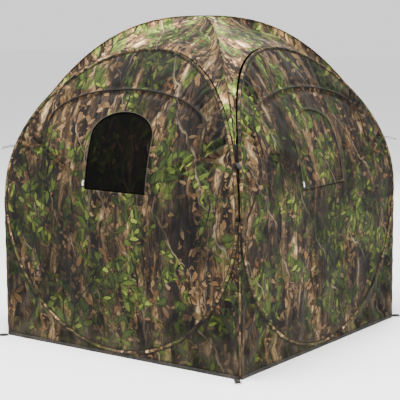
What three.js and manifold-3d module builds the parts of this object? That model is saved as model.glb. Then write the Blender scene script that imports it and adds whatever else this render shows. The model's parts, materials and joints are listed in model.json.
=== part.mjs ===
// Pop-up ground blind: four walls, each stretched in a spring-steel hoop, under a domed roof.
// Millimetres, +Z up. The origin is on the floor under the middle of the cabin.
// The front wall, with the open window, faces -Y. The right wall faces +X.
// Each wall is drawn in its hinge-line frame: x along the wall, -y outwards, and s up from the
// height where the hoop is widest. Its lower half is flat and its upper half bows inwards.
import * as THREE from "three";
import Module from "manifold-3d";
import { mergeVertices } from "three/addons/utils/BufferGeometryUtils.js";

// Driving dimensions
const CORNER = 748; // from the middle to the inner faces of the walls, where the corner hinges are
const SLEEVE = 16; // outside width of the hoop sleeve
const SLEEVE_SKIN = 2;
const HOOP_ROD = 3.2; // radius of the spring-steel rod
const WIDEST = 755; // height at which the hoops are widest, and above which they bow in
const BOW = 325; // how far the top of a hoop stands in from its widest part
const HOOP_TOP = 1535; // height of the top of a sleeve
const ROOF_TOP = 1690; // height of the crown of the roof
const HEM = 18; // height of the hem strip
const CLOTH = 3; // thickness of a panel
const GAP = 0.5; // left between pieces that are sewn together
const HINGE_GAP = 3; // left above and below the hinge line for the hoop and its sleeve
const PANEL_GAP = 1.2; // the same for a panel
const ARC_STEPS = 24; // facets in one half of the hoop
const BOW_STEPS = 10; // flat strips in the bowed half of a wall

// Worked out from them
const HALF = SLEEVE / 2;
const PLANE = CORNER + HALF; // from the middle to the mid-plane of a wall
const HOOP_A = CORNER - GAP - HALF; // half-width of the hoop's centre line
const HOOP_LOW = WIDEST - HEM - GAP - HALF; // its depth below the hinge line
const HOOP_HIGH = HOOP_TOP - WIDEST - HALF; // its height above

const WINDOW = { half: 195, bottom: 80, shoulder: 350, top: 467 };
const DOOR = { half: 330, bottom: -600, shoulder: -170, top: -40 };

const wasm = await Module();
wasm.setup();

const camo = () => new THREE.MeshStandardMaterial({ color: 0x55502f, roughness: 0.85, metalness: 0 });
const black = () => new THREE.MeshStandardMaterial({ color: 0x141412, roughness: 0.8, metalness: 0 });
const netting = () => new THREE.MeshStandardMaterial({ color: 0x0c0d0b, roughness: 0.9, metalness: 0 });
const steel = () => new THREE.MeshStandardMaterial({ color: 0x8d8f90, roughness: 0.35, metalness: 1 });
const plastic = () => new THREE.MeshStandardMaterial({ color: 0xd9d7cf, roughness: 0.45, metalness: 0 });

const blind = new THREE.Group();

function add(group, name, geometry, material) {
  const mesh = new THREE.Mesh(geometry, material);
  mesh.name = name;
  group.add(mesh);
  return mesh;
}

// Points on an ellipse about the hinge line, from one angle to another.
function ellipse(a, b, from, to, steps = ARC_STEPS) {
  return Array.from({ length: steps + 1 }, (_, i) => {
    const angle = from + ((to - from) * i) / steps;
    return new THREE.Vector2(a * Math.cos(angle), b * Math.sin(angle));
  });
}

// How far in the wall stands at a height above the hinge line.
function bowAt(s) {
  return BOW * Math.max(s / HOOP_HIGH, 0) ** 2;
}

// Carries a piece drawn flat onto the bowed wall.
function bend(geometry) {
  const position = geometry.attributes.position;
  for (let i = 0; i < position.count; i++)
    position.setY(i, position.getY(i) + bowAt(position.getZ(i)));
  return geometry;
}

// A flat sheet from its outline in x and s, from n to n + thickness outwards.
function flatSheet(outline, thickness = CLOTH, n = -thickness / 2, holes = []) {
  const shape = new THREE.Shape(outline);
  shape.holes = holes.map((points) => new THREE.Path(points));
  const geometry = new THREE.ExtrudeGeometry(shape, { depth: thickness, bevelEnabled: false });
  return geometry.rotateX(Math.PI / 2).translate(0, -n, 0);
}

// The same sheet on the bowed upper half: a bowed slab cut to the outline.
function bowedSheet(outline, thickness = CLOTH, n = -thickness / 2, holes = []) {
  const heights = Array.from({ length: BOW_STEPS + 1 }, (_, i) => (HOOP_HIGH * i) / BOW_STEPS);
  const profile = heights.map((s) => new THREE.Vector2(bowAt(s) - n, s));
  const back = heights.map((s) => new THREE.Vector2(bowAt(s) - n - thickness, s)).reverse();
  const slab = new THREE.ExtrudeGeometry(new THREE.Shape([...profile, ...back]), {
    depth: 2 * CORNER,
    bevelEnabled: false,
  });
  slab.applyMatrix4(
    new THREE.Matrix4().set(0, 0, 1, -CORNER, 1, 0, 0, 0, 0, 1, 0, 0, 0, 0, 0, 1),
  );
  const cutter = flatSheet(outline, 3 * BOW, -2 * BOW, holes);
  return fromManifold(solid(slab).intersect(solid(cutter)));
}

// One half of the hoop's centre line, above or below the hinge line.
class HalfHoop extends THREE.Curve {
  constructor(height, side) {
    super();
    this.height = height;
    this.side = side;
    this.start = Math.asin(HINGE_GAP / height);
  }

  getPoint(t, target = new THREE.Vector3()) {
    const angle = this.start + (Math.PI - 2 * this.start) * t;
    const s = this.side * this.height * Math.sin(angle);
    return target.set(HOOP_A * Math.cos(angle), 0, s);
  }

  // Equal steps of angle, so that its facets match those of the panel and the gussets.
  getUtoTmapping(u) {
    return u;
  }
}

// A point on the faceted outline that runs beside the hoop at an offset, u facets along it.
function besideHoop(height, side, offset, u) {
  const start = Math.asin(HINGE_GAP / height);
  const corner = (index) => {
    const angle = start + ((Math.PI - 2 * start) * index) / ARC_STEPS;
    const s = side * (height + offset) * Math.sin(angle);
    return new THREE.Vector2((HOOP_A + offset) * Math.cos(angle), s);
  };
  return corner(Math.floor(u)).lerp(corner(Math.floor(u) + 1), u - Math.floor(u));
}

// The arch of a window or door, grown by an offset all round.
function arch(opening, grow = 0, foot = opening.bottom - grow) {
  const half = opening.half + grow;
  const rise = opening.top - opening.shoulder + grow;
  const crown = ellipse(half, rise, 0, Math.PI, 14);
  crown.forEach((point) => (point.y += opening.shoulder));
  return [new THREE.Vector2(-half, foot), new THREE.Vector2(half, foot), ...crown];
}

// A zip tape: a band along the sides and crown of an arch, open at its foot.
function zipTape(opening, inner, outer, foot) {
  const outside = arch(opening, outer, foot).slice(1);
  const inside = arch(opening, inner, foot).slice(1);
  const last = (points) => new THREE.Vector2(points.at(-1).x, foot);
  return [...outside, last(outside), last(inside), ...inside.reverse()];
}

function sweep(section, path) {
  return new THREE.ExtrudeGeometry(section, {
    steps: ARC_STEPS,
    bevelEnabled: false,
    extrudePath: path,
  });
}

function square(half) {
  return [
    new THREE.Vector2(-half, -half),
    new THREE.Vector2(half, -half),
    new THREE.Vector2(half, half),
    new THREE.Vector2(-half, half),
  ];
}

function sleeveSection() {
  const shape = new THREE.Shape(square(HALF));
  shape.holes = [new THREE.Path(square(HALF - SLEEVE_SKIN))];
  return shape;
}

function rodSection() {
  const sides = Array.from({ length: 6 }, (_, i) => {
    const angle = (i * Math.PI) / 3;
    return new THREE.Vector2(HOOP_ROD * Math.cos(angle), HOOP_ROD * Math.sin(angle));
  });
  return new THREE.Shape(sides);
}

// The panel inside one half of the hoop, with any holes.
function panel(height, side, sheet, holes = []) {
  const rim = Array.from({ length: ARC_STEPS + 1 }, (_, u) =>
    besideHoop(height, side, -HALF - GAP, u),
  );
  const lip = [rim.at(-1), rim[0]].map((p) => new THREE.Vector2(p.x, side * PANEL_GAP));
  const outline = [...rim, ...lip];
  return sheet(side > 0 ? outline : outline.reverse(), CLOTH, -CLOTH / 2, holes);
}

// The gusset between the hoop, the corner seam and the hem, on either side of a wall.
function gusset(mirror) {
  const seam = CORNER - GAP;
  const foot = -(WIDEST - HEM - GAP);
  const beside = (u) => besideHoop(HOOP_LOW, -1, HALF + GAP, u);
  const first = (beside(0).x - seam + 2) / (beside(0).x - beside(1).x);
  const last = ARC_STEPS / 2 - 1;
  const rim = [beside(first)];
  for (let u = 1; u <= last; u++) rim.push(beside(u));
  const points = [
    ...rim,
    new THREE.Vector2(rim.at(-1).x, foot),
    new THREE.Vector2(seam, foot),
    new THREE.Vector2(seam, rim[0].y),
  ];
  const outline = mirror ? points.map((p) => new THREE.Vector2(-p.x, p.y)) : points.reverse();
  return flatSheet(outline);
}

function hem() {
  const end = CORNER - GAP;
  const low = -WIDEST;
  return flatSheet(
    [
      new THREE.Vector2(-end, low),
      new THREE.Vector2(end, low),
      new THREE.Vector2(end, low + HEM),
      new THREE.Vector2(-end, low + HEM),
    ],
    6,
  );
}

// A webbing loop: a flattened ring of strap, along +Y from its sewn end, lying flat.
function webbingLoop(length, width, depth, skin) {
  const stadium = (grow) => {
    const r = depth / 2 - grow;
    const reach = length / 2 - depth / 2;
    const left = ellipse(r, r, Math.PI / 2, 1.5 * Math.PI, 6);
    const right = ellipse(r, r, -Math.PI / 2, Math.PI / 2, 6);
    left.forEach((p) => (p.x -= reach));
    right.forEach((p) => (p.x += reach));
    return [...left, ...right];
  };
  const shape = new THREE.Shape(stadium(0));
  shape.holes = [new THREE.Path(stadium(skin))];
  const geometry = new THREE.ExtrudeGeometry(shape, { depth: width, bevelEnabled: false });
  return geometry.translate(length / 2, 0, -width / 2).rotateX(Math.PI / 2).rotateZ(Math.PI / 2);
}

// A zip tape with its slider at x and s.
function zipWithSlider(tape, x, s) {
  const deep = TAPE_FRONT + TAPE + SLIDER;
  const slider = flatSheet(square(SLIDER_HALF), deep - TAPE_FRONT - 0.3, TAPE_FRONT + 0.3);
  slider.rotateX(-tiltAt(s)).translate(x, bowAt(s), s);
  return join(tape, slider);
}

function solid(geometry) {
  const bare = geometry.clone().deleteAttribute("normal").deleteAttribute("uv");
  const merged = mergeVertices(bare, 1e-3);
  return new wasm.Manifold(
    new wasm.Mesh({
      numProp: 3,
      vertProperties: merged.attributes.position.array,
      triVerts: new Uint32Array(merged.index.array),
    }),
  );
}

function fromManifold(made) {
  const mesh = made.getMesh();
  const geometry = new THREE.BufferGeometry();
  geometry.setAttribute("position", new THREE.BufferAttribute(mesh.vertProperties, 3));
  geometry.setIndex(new THREE.BufferAttribute(mesh.triVerts, 1));
  return geometry;
}

function join(...geometries) {
  return fromManifold(geometries.map(solid).reduce((a, b) => a.add(b)));
}

// One wall: the lower half and the upper half meet at the hinge line.
function wall(name, turn, upperHoles, lowerHoles) {
  const side = new THREE.Group();
  side.rotation.z = turn;
  const cloth = new THREE.Group();
  cloth.position.set(0, -PLANE, WIDEST);
  side.add(cloth);
  blind.add(side);

  const halves = [
    ["lower", HOOP_LOW, -1, flatSheet, lowerHoles],
    ["upper", HOOP_HIGH, 1, bowedSheet, upperHoles],
  ];
  for (const [half, height, way, sheet, holes] of halves) {
    const path = new HalfHoop(height, way);
    add(cloth, `${name}_hoop_${half}`, bend(sweep(rodSection(), path)), steel());
    add(cloth, `${name}_sleeve_${half}`, bend(sweep(sleeveSection(), path)), camo());
    add(cloth, `${name}_panel_${half}`, panel(height, way, sheet, holes), camo());
  }
  add(cloth, `${name}_gusset_right`, gusset(false), camo());
  add(cloth, `${name}_gusset_left`, gusset(true), camo());
  add(cloth, `${name}_hem`, hem(), black());
  return cloth;
}

const TAPE = 1.6; // thickness of a zip tape
const TAPE_FRONT = CLOTH / 2 + 0.4; // its back face stands this far out of the mid-plane
const SLIDER = 3; // how far a slider stands out of its tape
const SLIDER_HALF = 4.5;
const PULL_OUT = TAPE_FRONT + TAPE + SLIDER + 2.8; // where a pull hangs, clear of its slider

function tiltAt(s) {
  return Math.atan(bowAt(s + 1) - bowAt(s));
}

// A zip tape with its slider, and the pull tab that hangs from it along the cloth.
function addZip(cloth, sheet, name, tape, x, s) {
  const zip = zipWithSlider(sheet(tape, TAPE, TAPE_FRONT), x, s);
  add(cloth, `${name}_zip`, zip, black());
  if (name === "door") return; // its slider has no tab
  const tab = new THREE.BoxGeometry(7, 2.4, 26).translate(0, 0, -11);
  const pull = add(cloth, `${name}_pull`, tab, plastic());
  pull.position.set(x, bowAt(s) - PULL_OUT, s);
  pull.rotation.x = -tiltAt(s);
}

// A closed flap in an arched opening, with its zip on the outside.
function closedFlap(cloth, sheet, name, opening, pullHeight) {
  const clear = -2;
  add(cloth, `${name}_flap`, sheet(arch(opening, clear), 2.4), camo());
  const tape = zipTape(opening, -9, 9, opening.bottom + 4);
  addZip(cloth, sheet, name, tape, -opening.half, opening.bottom + pullHeight);
}

const windowHole = arch(WINDOW).reverse();
const doorHole = arch(DOOR).reverse();
const front = wall("front", 0, [windowHole], []);
const right = wall("right", Math.PI / 2, [windowHole], []);
const back = wall("back", Math.PI, [], [doorHole]);
const left = wall("left", -Math.PI / 2, [windowHole], []);

closedFlap(right, bowedSheet, "right_window", WINDOW, 40);
closedFlap(left, bowedSheet, "left_window", WINDOW, 40);
closedFlap(back, flatSheet, "door", DOOR, 45);

// The front window is open: its mesh is sewn in behind the panel, and its flap is rolled up inside.
const FLAP_ROLL = 17; // radius of the rolled flap
const NET = 1.2; // thickness of the window mesh
const meshBack = -(CLOTH / 2 + 0.6 + NET);
add(front, "front_window_mesh", bowedSheet(arch(WINDOW, 12), NET, meshBack), netting());
const frontTape = zipTape(WINDOW, 1, 9, WINDOW.bottom + 4);
addZip(front, bowedSheet, "front_window", frontTape, -WINDOW.half - 5, WINDOW.bottom + 40);
const roll = new THREE.CylinderGeometry(FLAP_ROLL, FLAP_ROLL, 2 * WINDOW.half + 20, 16);
const rolled = add(front, "front_window_flap", roll.rotateZ(Math.PI / 2), camo());
rolled.position.set(0, FLAP_ROLL + 8, WINDOW.bottom - FLAP_ROLL - 12);

// The roof: four gores from the crown to rims just inside the upper half hoops.
const RIM_IN = HALF + 4; // a rim stands this far inside the mid-plane of a wall, before its shift
const RIDGE_GAP = 3; // each gore is shifted out by this, which parts it from its neighbours
const RIM_UP = 4; // and its skin this far above the hoop's centre line
const RING_STEPS = 6;
const SEAM_STEPS = 3; // facets at each foot of a hoop where it is sewn straight to its neighbour
const DOME_WALL = 1.6; // how round the dome is above the middle of a wall: 1 is a cone
const DOME_CORNER = 3.1; // and how round along a corner ridge

function rimPoint(u) {
  const beside = besideHoop(HOOP_HIGH, 1, 0, u);
  const inside = -PLANE + bowAt(beside.y + HALF + RIM_UP) + RIM_IN;
  return new THREE.Vector3(beside.x, inside, WIDEST + beside.y + RIM_UP);
}

function roofPoint(rim, t) {
  const height = (rim.z - WIDEST) / HOOP_HIGH;
  const dome = THREE.MathUtils.lerp(DOME_CORNER, DOME_WALL, THREE.MathUtils.clamp(height, 0, 1));
  const rise = (ROOF_TOP - rim.z) * (1 - t ** dome);
  return new THREE.Vector3(rim.x * t, rim.y * t, rim.z + rise);
}

// One of the roof's four gores, between the crown, two corner ridges and its wall's hoop.
function goreGeometry() {
  const rims = [];
  for (let u = ARC_STEPS - SEAM_STEPS; u >= SEAM_STEPS; u--) rims.push(rimPoint(u));
  const points = [new THREE.Vector3(0, 0, ROOF_TOP)];
  for (let ring = 1; ring <= RING_STEPS; ring++)
    for (const rim of rims) points.push(roofPoint(rim, ring / RING_STEPS));
  const at = (ring, i) => 1 + (ring - 1) * rims.length + i;
  const last = rims.length - 1;
  const faces = [];
  for (let i = 0; i < last; i++) {
    faces.push(0, at(1, i), at(1, i + 1));
    for (let ring = 1; ring < RING_STEPS; ring++) {
      const [a, b] = [at(ring, i), at(ring + 1, i)];
      const [c, d] = [at(ring + 1, i + 1), at(ring, i + 1)];
      faces.push(a, b, c, a, c, d);
    }
  }
  const outside = new THREE.BufferGeometry().setFromPoints(points).setIndex(faces);
  outside.computeVertexNormals();

  // The inner skin follows the outer one, a thickness behind it.
  const normals = outside.attributes.normal;
  const behind = points.map((point, i) =>
    new THREE.Vector3().fromBufferAttribute(normals, i).multiplyScalar(-CLOTH).add(point),
  );
  const skin = points.length;
  const shell = [...faces];
  for (let i = 0; i < faces.length; i += 3)
    shell.push(skin + faces[i], skin + faces[i + 2], skin + faces[i + 1]);
  const edge = [0];
  for (let ring = 1; ring < RING_STEPS; ring++) edge.push(at(ring, 0));
  for (let i = 0; i <= last; i++) edge.push(at(RING_STEPS, i));
  for (let ring = RING_STEPS - 1; ring >= 1; ring--) edge.push(at(ring, last));
  edge.forEach((p, i) => {
    const q = edge[(i + 1) % edge.length];
    shell.push(q, p, skin + p, q, skin + p, skin + q);
  });
  return new THREE.BufferGeometry().setFromPoints([...points, ...behind]).setIndex(shell);
}

for (const [name, cloth] of Object.entries({ front, right, back, left })) {
  const gore = add(cloth.parent, `${name}_roof_gore`, goreGeometry(), camo());
  gore.position.y = -RIDGE_GAP;
}

// Tie-out loops at the four corners, and stake loops at the feet of the corners.
const TIE_HEIGHT = 1020; // of the tie-out loops, just outside the crossing of two sleeves
const CORNERS = ["near", "far_right", "far_back", "far_left"];
CORNERS.forEach((name, i) => {
  const turn = (i * Math.PI) / 2;
  const corner = new THREE.Group();
  corner.rotation.z = turn;
  blind.add(corner);

  const outside = CORNER + SLEEVE + 4 - bowAt(TIE_HEIGHT - WIDEST);
  const tie = add(corner, `tie_loop_${name}`, webbingLoop(46, 25, 9, 2), black());
  tie.position.set(outside, -outside, TIE_HEIGHT);
  tie.rotation.set(0, 0, -0.75 * Math.PI);

  const stake = add(corner, `stake_loop_${name}`, webbingLoop(48, 24, 9, 2), black());
  const alongFront = i % 2 === 0;
  const clear = SLEEVE + 4;
  const spot = alongFront
    ? [CORNER - 6, -CORNER - clear]
    : [CORNER + clear, -CORNER + 6];
  stake.position.set(spot[0], spot[1], 4.5);
  stake.rotation.set(0, 0, -0.75 * Math.PI);
});

export default blind;
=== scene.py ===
import json
import math
import bpy
import bmesh
import numpy as np
from mathutils import Matrix, Vector
from mathutils.geometry import delaunay_2d_cdt


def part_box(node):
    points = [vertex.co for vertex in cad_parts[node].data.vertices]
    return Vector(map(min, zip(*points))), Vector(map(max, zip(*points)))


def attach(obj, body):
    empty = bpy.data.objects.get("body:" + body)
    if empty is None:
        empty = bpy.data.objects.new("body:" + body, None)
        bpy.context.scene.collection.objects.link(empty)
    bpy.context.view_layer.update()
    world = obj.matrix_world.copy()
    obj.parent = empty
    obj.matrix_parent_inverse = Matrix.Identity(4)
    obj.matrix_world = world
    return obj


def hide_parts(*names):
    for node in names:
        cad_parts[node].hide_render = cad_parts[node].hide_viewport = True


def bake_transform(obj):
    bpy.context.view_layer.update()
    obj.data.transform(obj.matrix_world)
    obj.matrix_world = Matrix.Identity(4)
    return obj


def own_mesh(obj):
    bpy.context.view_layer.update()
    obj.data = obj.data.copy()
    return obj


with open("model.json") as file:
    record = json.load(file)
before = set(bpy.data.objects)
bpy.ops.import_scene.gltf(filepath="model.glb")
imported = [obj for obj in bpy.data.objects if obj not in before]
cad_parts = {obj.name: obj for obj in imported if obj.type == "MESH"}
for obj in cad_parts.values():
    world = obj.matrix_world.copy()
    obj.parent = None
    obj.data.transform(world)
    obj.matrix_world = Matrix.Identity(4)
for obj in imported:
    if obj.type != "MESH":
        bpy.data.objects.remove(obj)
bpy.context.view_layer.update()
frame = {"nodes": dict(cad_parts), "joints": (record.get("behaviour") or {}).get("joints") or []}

# ---------------------------------------------------------------- sizes, in metres, from the frame
JOINTS = {j["name"]: j for j in frame["joints"]}
CORNER = JOINTS["fold"]["pos_m"][0]  # inner faces of the walls, where the corner hinges are
PLANE = -JOINTS["front_hoop_flatten"]["pos_m"][1]  # mid-plane of a wall
WIDEST = JOINTS["front_hoop_flatten"]["pos_m"][2]  # height where the hoops are widest
HOOP_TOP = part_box("front_sleeve_upper")[1][2]
ROOF_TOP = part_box("front_roof_gore")[1][2]
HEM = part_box("front_hem")[1][2]
SLEEVE = 0.008  # radius of the hoop sleeve
BOW = 0.325  # how far the top of a hoop stands in from its widest part
HOOP_A = CORNER - 0.0005 - SLEEVE
HOOP_LOW = WIDEST - HEM - 0.0005 - SLEEVE
HOOP_HIGH = HOOP_TOP - WIDEST - SLEEVE
CLOTH = 0.0012  # thickness of the cloth
SIDES = ["front", "right", "back", "left"]
WINDOW = dict(half=0.195, bottom=0.080, shoulder=0.350, top=0.467)
DOOR = dict(half=0.330, bottom=-0.600, shoulder=-0.170, top=-0.040)
WELT = dict(half=0.500, bottom=0.285, shoulder=0.400, top=0.575)
CORNERS = ["near", "far_right", "far_back", "far_left"]


# ---------------------------------------------------------------- where the cloth is
def bow(s):
    return BOW * (np.maximum(s, 0) / HOOP_HIGH) ** 2


def slope(s):
    return 2 * BOW * np.maximum(s, 0) / HOOP_HIGH**2


def turned(points, side):
    angle = side * math.pi / 2
    c, k = math.cos(angle), math.sin(angle)
    return np.stack(
        [points[:, 0] * c - points[:, 1] * k, points[:, 0] * k + points[:, 1] * c, points[:, 2]],
        axis=1,
    )


def on_wall(x, s, n=0.0, side=0):
    """World points from x along a wall, s above the hinge line and n outwards through the cloth."""
    x, s, n = np.broadcast_arrays(np.asarray(x, float), np.asarray(s, float), np.asarray(n, float))
    tilt = np.arctan(slope(s))
    y = -PLANE + bow(s) - n * np.cos(tilt)
    z = WIDEST + s + n * np.sin(tilt)
    return turned(np.stack([x.ravel(), y.ravel(), z.ravel()], axis=1), side)


def hoop_point(angle, grow=0.0):
    """x and s on the hoop's centre line, or on the outline that stands outside it by grow."""
    high = np.where(np.sin(angle) >= 0, HOOP_HIGH, HOOP_LOW)
    return (HOOP_A + grow) * np.cos(angle), (high + grow) * np.sin(angle)


def arch(opening, grow=0.0, steps=28):
    """Outline of an arched opening, grown all round, from its bottom left corner anticlockwise."""
    half = opening["half"] + grow
    rise = opening["top"] - opening["shoulder"] + grow
    bottom = opening["bottom"] - grow
    angle = np.linspace(0, math.pi, steps)
    crown = np.stack([half * np.cos(angle), opening["shoulder"] + rise * np.sin(angle)], axis=1)
    return np.vstack([[(-half, bottom), (half, bottom)], crown])


# ---------------------------------------------------------------- meshes
def new_piece(name, points, faces, materials, uv=None, smooth=True):
    mesh = bpy.data.meshes.new(name)
    mesh.from_pydata([tuple(p) for p in points], [], [tuple(f) for f in faces])
    if uv is not None:
        layer = mesh.uv_layers.new(name="cloth")
        index = np.empty(len(mesh.loops), np.int32)
        mesh.loops.foreach_get("vertex_index", index)
        layer.data.foreach_set("uv", np.asarray(uv, np.float32)[index].ravel())
    for material in materials:
        mesh.materials.append(material)
    if smooth:
        mesh.polygons.foreach_set("use_smooth", np.ones(len(mesh.polygons), bool))
    piece = bpy.data.objects.new(name, mesh)
    bpy.context.collection.objects.link(piece)
    mesh.update()
    return piece


def settle(piece):
    """Turns the piece's modifiers into plain mesh."""
    depsgraph = bpy.context.evaluated_depsgraph_get()
    mesh = bpy.data.meshes.new_from_object(piece.evaluated_get(depsgraph))
    piece.modifiers.clear()
    piece.data = mesh
    mesh.name = piece.name
    return piece


def thicken(piece, thickness=CLOTH, inner=True):
    """Gives cloth its thickness inwards; its inner face takes the second material."""
    solid = piece.modifiers.new("thickness", "SOLIDIFY")
    solid.thickness = thickness
    solid.offset = -1
    if inner:
        solid.material_offset = 1
    return settle(piece)


def fill(outline, holes, spacing):
    """A flat triangle mesh inside an outline and outside its holes, with an even grid of points."""
    loops = [np.asarray(outline, float)] + [np.asarray(h, float) for h in holes]
    dense = []
    for loop in loops:
        ring = []
        for a, b in zip(loop, np.roll(loop, -1, axis=0)):
            parts = max(1, int(np.linalg.norm(b - a) / spacing + 0.5))
            ring += [a + (b - a) * i / parts for i in range(parts)]
        dense.append(np.array(ring))
    low, high = dense[0].min(0), dense[0].max(0)
    rows = np.arange(low[1] + spacing / 2, high[1], spacing * 0.866)
    grid = []
    for i, y in enumerate(rows):
        xs = np.arange(low[0] + (i % 2) * spacing / 2, high[0], spacing)
        grid.append(np.stack([xs, np.full_like(xs, y)], axis=1))
    grid = np.vstack(grid)
    keep = inside(grid, dense[0]) & (distance(grid, dense[0]) > spacing * 0.55)
    for hole in dense[1:]:
        keep &= ~inside(grid, hole) & (distance(grid, hole) > spacing * 0.55)
    points, edges = [], []
    for ring in dense:
        first = len(points)
        points += [Vector(p) for p in ring]
        edges += [(first + i, first + (i + 1) % len(ring)) for i in range(len(ring))]
    points += [Vector(p) for p in grid[keep]]
    verts, _, faces, *_ = delaunay_2d_cdt(points, edges, [], 0, 1e-7)
    verts = np.array([tuple(v) for v in verts])
    faces = np.array([tuple(f) for f in faces])
    middle = verts[faces].mean(axis=1)
    good = inside(middle, dense[0])
    for hole in dense[1:]:
        good &= ~inside(middle, hole)
    faces = faces[good]
    a, b, c = verts[faces[:, 0]], verts[faces[:, 1]], verts[faces[:, 2]]
    area = (b[:, 0] - a[:, 0]) * (c[:, 1] - a[:, 1]) - (b[:, 1] - a[:, 1]) * (c[:, 0] - a[:, 0])
    faces = np.where((area > 0)[:, None], faces, faces[:, ::-1])
    return verts, faces[np.abs(area) > 1e-12]


def inside(points, loop):
    found = np.zeros(len(points), bool)
    for a, b in zip(loop, np.roll(loop, -1, axis=0)):
        crosses = (a[1] > points[:, 1]) != (b[1] > points[:, 1])
        with np.errstate(divide="ignore", invalid="ignore"):
            at = a[0] + (points[:, 1] - a[1]) * (b[0] - a[0]) / (b[1] - a[1])
        found ^= crosses & (points[:, 0] < at)
    return found


def distance(points, loop, closed=True):
    """Distance from each point to an outline."""
    best = np.full(len(points), 9.0)
    pairs = list(zip(loop, np.roll(loop, -1, axis=0)))
    for a, b in pairs if closed else pairs[:-1]:
        ab = b - a
        t = np.clip(((points - a) @ ab) / max(ab @ ab, 1e-12), 0, 1)
        best = np.minimum(best, np.linalg.norm(a + t[:, None] * ab - points, axis=1))
    return best


def tube(name, path, radius, materials, closed=False, sides=10, out=None, flat=1.0):
    """A round or flattened tube along a path. out gives the direction of its thin side."""
    path = np.asarray(path, float)
    count = len(path)
    ahead = np.roll(path, -1, 0) - np.roll(path, 1, 0)
    if not closed:
        ahead[0], ahead[-1] = path[1] - path[0], path[-1] - path[-2]
    ahead /= np.linalg.norm(ahead, axis=1, keepdims=True)
    up = np.broadcast_to(np.array([0.0, 0.0, 1.0]) if out is None else out, path.shape).copy()
    if out is None:
        up[np.abs(ahead[:, 2]) > 0.95] = (1.0, 0.0, 0.0)
    across = np.cross(ahead, up)
    across /= np.linalg.norm(across, axis=1, keepdims=True)
    up = np.cross(across, ahead)
    angle = np.arange(sides) * 2 * math.pi / sides
    radius = np.broadcast_to(np.asarray(radius, float), (count,))
    points = (
        path[:, None]
        + across[:, None] * (np.cos(angle)[None, :, None] * radius[:, None, None])
        + up[:, None] * (np.sin(angle)[None, :, None] * flat * radius[:, None, None])
    ).reshape(-1, 3)
    length = np.concatenate([[0], np.cumsum(np.linalg.norm(np.diff(path, axis=0), axis=1))])
    uv = np.stack(
        [np.repeat(length, sides), np.tile(angle * np.mean(radius), count)], axis=1
    )
    faces = []
    for i in range(count if closed else count - 1):
        j = (i + 1) % count
        for k in range(sides):
            m = (k + 1) % sides
            faces.append((i * sides + k, j * sides + k, j * sides + m, i * sides + m))
    if not closed:
        faces.append(tuple(reversed(range(sides))))
        faces.append(tuple(range((count - 1) * sides, count * sides)))
    piece = new_piece(name, points, faces, materials, uv)
    face_outwards(piece)
    return piece


def face_outwards(piece):
    work = bmesh.new()
    work.from_mesh(piece.data)
    bmesh.ops.recalc_face_normals(work, faces=work.faces)
    work.to_mesh(piece.data)
    work.free()


# section of a strap, in shares of its width and thickness
STRAP_SECTION = [(-0.5, -0.5), (-0.5, 0.5), (-0.25, 0.56), (0.25, 0.56), (0.5, 0.5), (0.5, -0.5),
                 (0.25, -0.56), (-0.25, -0.56)]


def ribbon(name, centre, across, out, width, thickness, materials):
    """A flat strap along a path: across is the direction of its width, out of its thickness."""
    centre, across, out = (np.asarray(a, float) for a in (centre, across, out))
    across = np.broadcast_to(across, centre.shape)
    out = np.broadcast_to(out, centre.shape)
    sides = len(STRAP_SECTION)
    points = np.stack(
        [centre + across * (w * width) + out * (t * thickness) for w, t in STRAP_SECTION], axis=1
    ).reshape(-1, 3)
    length = np.concatenate([[0], np.cumsum(np.linalg.norm(np.diff(centre, axis=0), axis=1))])
    uv = np.stack(
        [np.repeat(length, sides), np.tile([w * width for w, _ in STRAP_SECTION], len(centre))], axis=1
    )
    faces = []
    for i in range(len(centre) - 1):
        for k in range(sides):
            m = (k + 1) % sides
            faces.append((i * sides + k, (i + 1) * sides + k, (i + 1) * sides + m, i * sides + m))
    faces.append(tuple(range(sides)))
    faces.append(tuple(reversed(range(len(centre) * sides - sides, len(centre) * sides))))
    piece = new_piece(name, points, faces, materials, uv)
    face_outwards(piece)
    return piece


# ---------------------------------------------------------------- node helpers
class Nodes:
    """Short ways to add nodes to a tree and link them."""

    def __init__(self, tree):
        self.tree = tree

    def add(self, kind, inputs=None, **settings):
        node = self.tree.nodes.new(kind)
        for key, value in settings.items():
            setattr(node, key, value)
        for key, value in (inputs or {}).items():
            self.plug(value, node.inputs[key])
        return node

    def plug(self, value, socket):
        if isinstance(value, bpy.types.NodeSocket):
            self.tree.links.new(value, socket)
        elif isinstance(value, bpy.types.Node):
            self.tree.links.new(value.outputs[0], socket)
        else:
            socket.default_value = value

    def math(self, operation, a, b=0.0, c=0.0, clamp=False):
        node = self.add("ShaderNodeMath", {0: a, 1: b, 2: c}, operation=operation)
        node.use_clamp = clamp
        return node.outputs[0]

    def vector(self, operation, a, b=(0, 0, 0)):
        return self.add("ShaderNodeVectorMath", {0: a, 1: b}, operation=operation).outputs[0]

    def mix(self, factor, a, b, blend="MIX"):
        node = self.add("ShaderNodeMix", data_type="RGBA", blend_type=blend)
        self.plug(factor, node.inputs[0])
        self.plug(a, node.inputs[6])
        self.plug(b, node.inputs[7])
        return node.outputs[2]

    def spread(self, value, low, high, to_low=0.0, to_high=1.0):
        node = self.add(
            "ShaderNodeMapRange",
            {0: value, 1: low, 2: high, 3: to_low, 4: to_high},
            interpolation_type="SMOOTHSTEP",
        )
        return node.outputs[0]

    def noise(self, vector, scale, detail=2.0, rough=0.5, distortion=0.0):
        node = self.add(
            "ShaderNodeTexNoise",
            {"Vector": vector, "Scale": scale, "Detail": detail, "Roughness": rough,
             "Distortion": distortion},
            noise_dimensions="2D",
        )
        return node.outputs[0]

    def stretch(self, vector, scale, shift=(0, 0, 0), turn=0.0):
        return self.add(
            "ShaderNodeMapping",
            {"Vector": vector, "Scale": scale, "Location": shift, "Rotation": (0, 0, turn)},
        ).outputs[0]


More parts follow.
